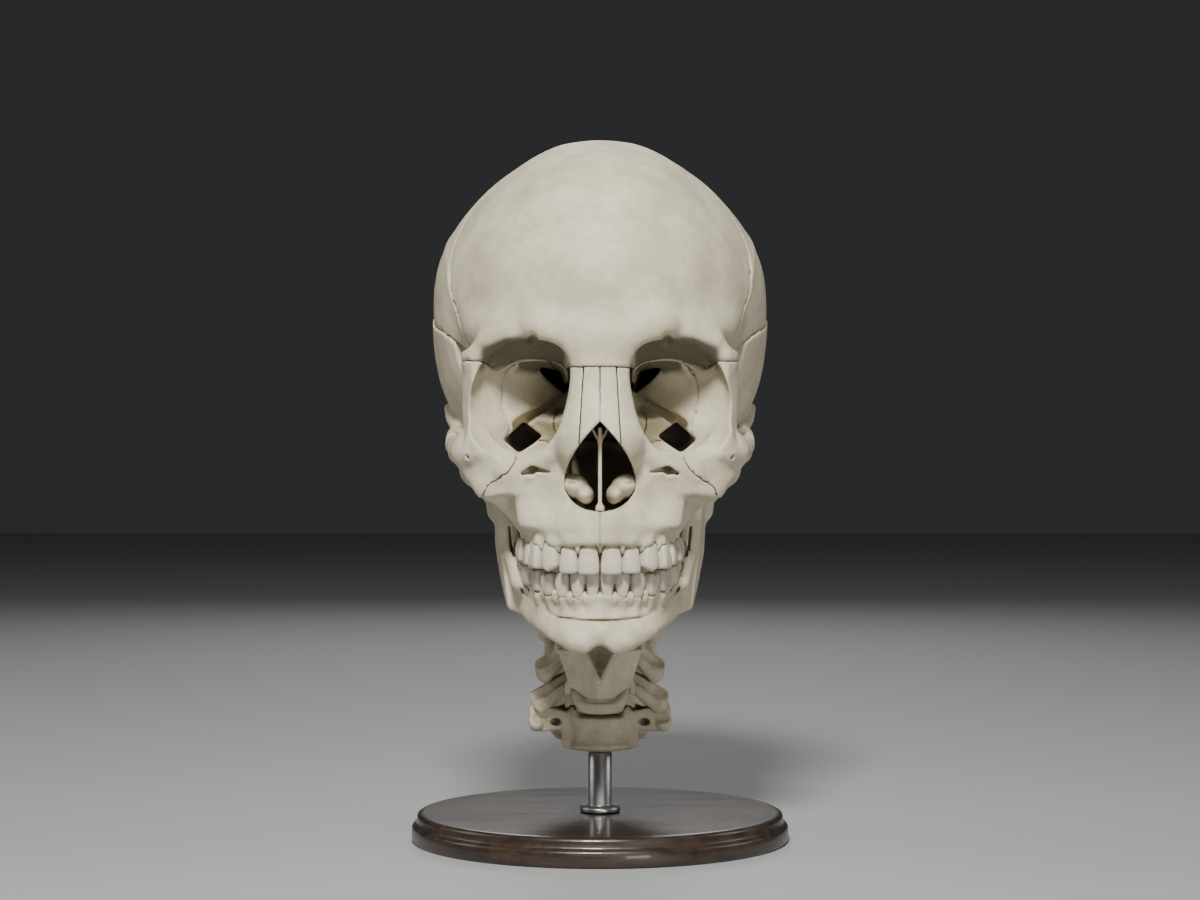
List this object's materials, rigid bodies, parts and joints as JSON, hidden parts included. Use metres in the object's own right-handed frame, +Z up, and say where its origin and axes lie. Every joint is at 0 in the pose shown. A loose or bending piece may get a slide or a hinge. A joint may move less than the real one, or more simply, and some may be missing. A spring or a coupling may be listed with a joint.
{
  "type": "human skull with neck vertebrae",
  "caption": "Life-size human skull with its jaw, teeth, neck bones and larynx cartilages, facing forward on a round display base.",
  "frame": {"origin": "centre of the base's underside, on the floor", "axes": "+Z up, the face looks along -Y, +X is the skull's own left side"},
  "size_m": [0.16, 0.1956, 0.297],
  "materials": {
    "bone": "dry bone, matt to satin",
    "face_bone": "dry bone and teeth, satin",
    "neck_bone": "dry bone, matt",
    "cartilage": "dried cartilage, satin",
    "stand_wood": "dark stained wood, satin",
    "stand_steel": "brushed"
  },
  "bodies": {
    "root": {"frontal": "bone", "occipital": "bone", "sphenoid": "bone", "parietal_left": "bone", "parietal_right": "bone", "temporal_left": "bone", "temporal_right": "bone", "ethmoid": "face_bone", "vomer": "face_bone", "mandible": "face_bone", "zygomatic_left": "face_bone", "zygomatic_right": "face_bone", "nasal_left": "face_bone", "nasal_right": "face_bone", "nasal_concha_left": "face_bone", "nasal_concha_right": "face_bone", "maxilla_left": "face_bone", "maxilla_right": "face_bone", "vertebra_c1": "neck_bone", "vertebra_c2": "neck_bone", "vertebra_c3": "neck_bone", "vertebra_c4": "neck_bone", "vertebra_c5": "neck_bone", "vertebra_c6": "neck_bone", "thyroid_cartilage": "cartilage", "cricoid_cartilage": "cartilage", "stand_base": "stand_wood", "stand_rod": "stand_steel", "stand_pin_shield": "stand_steel", "stand_pin_ring": "stand_steel"}
  },
  "joints": []
}
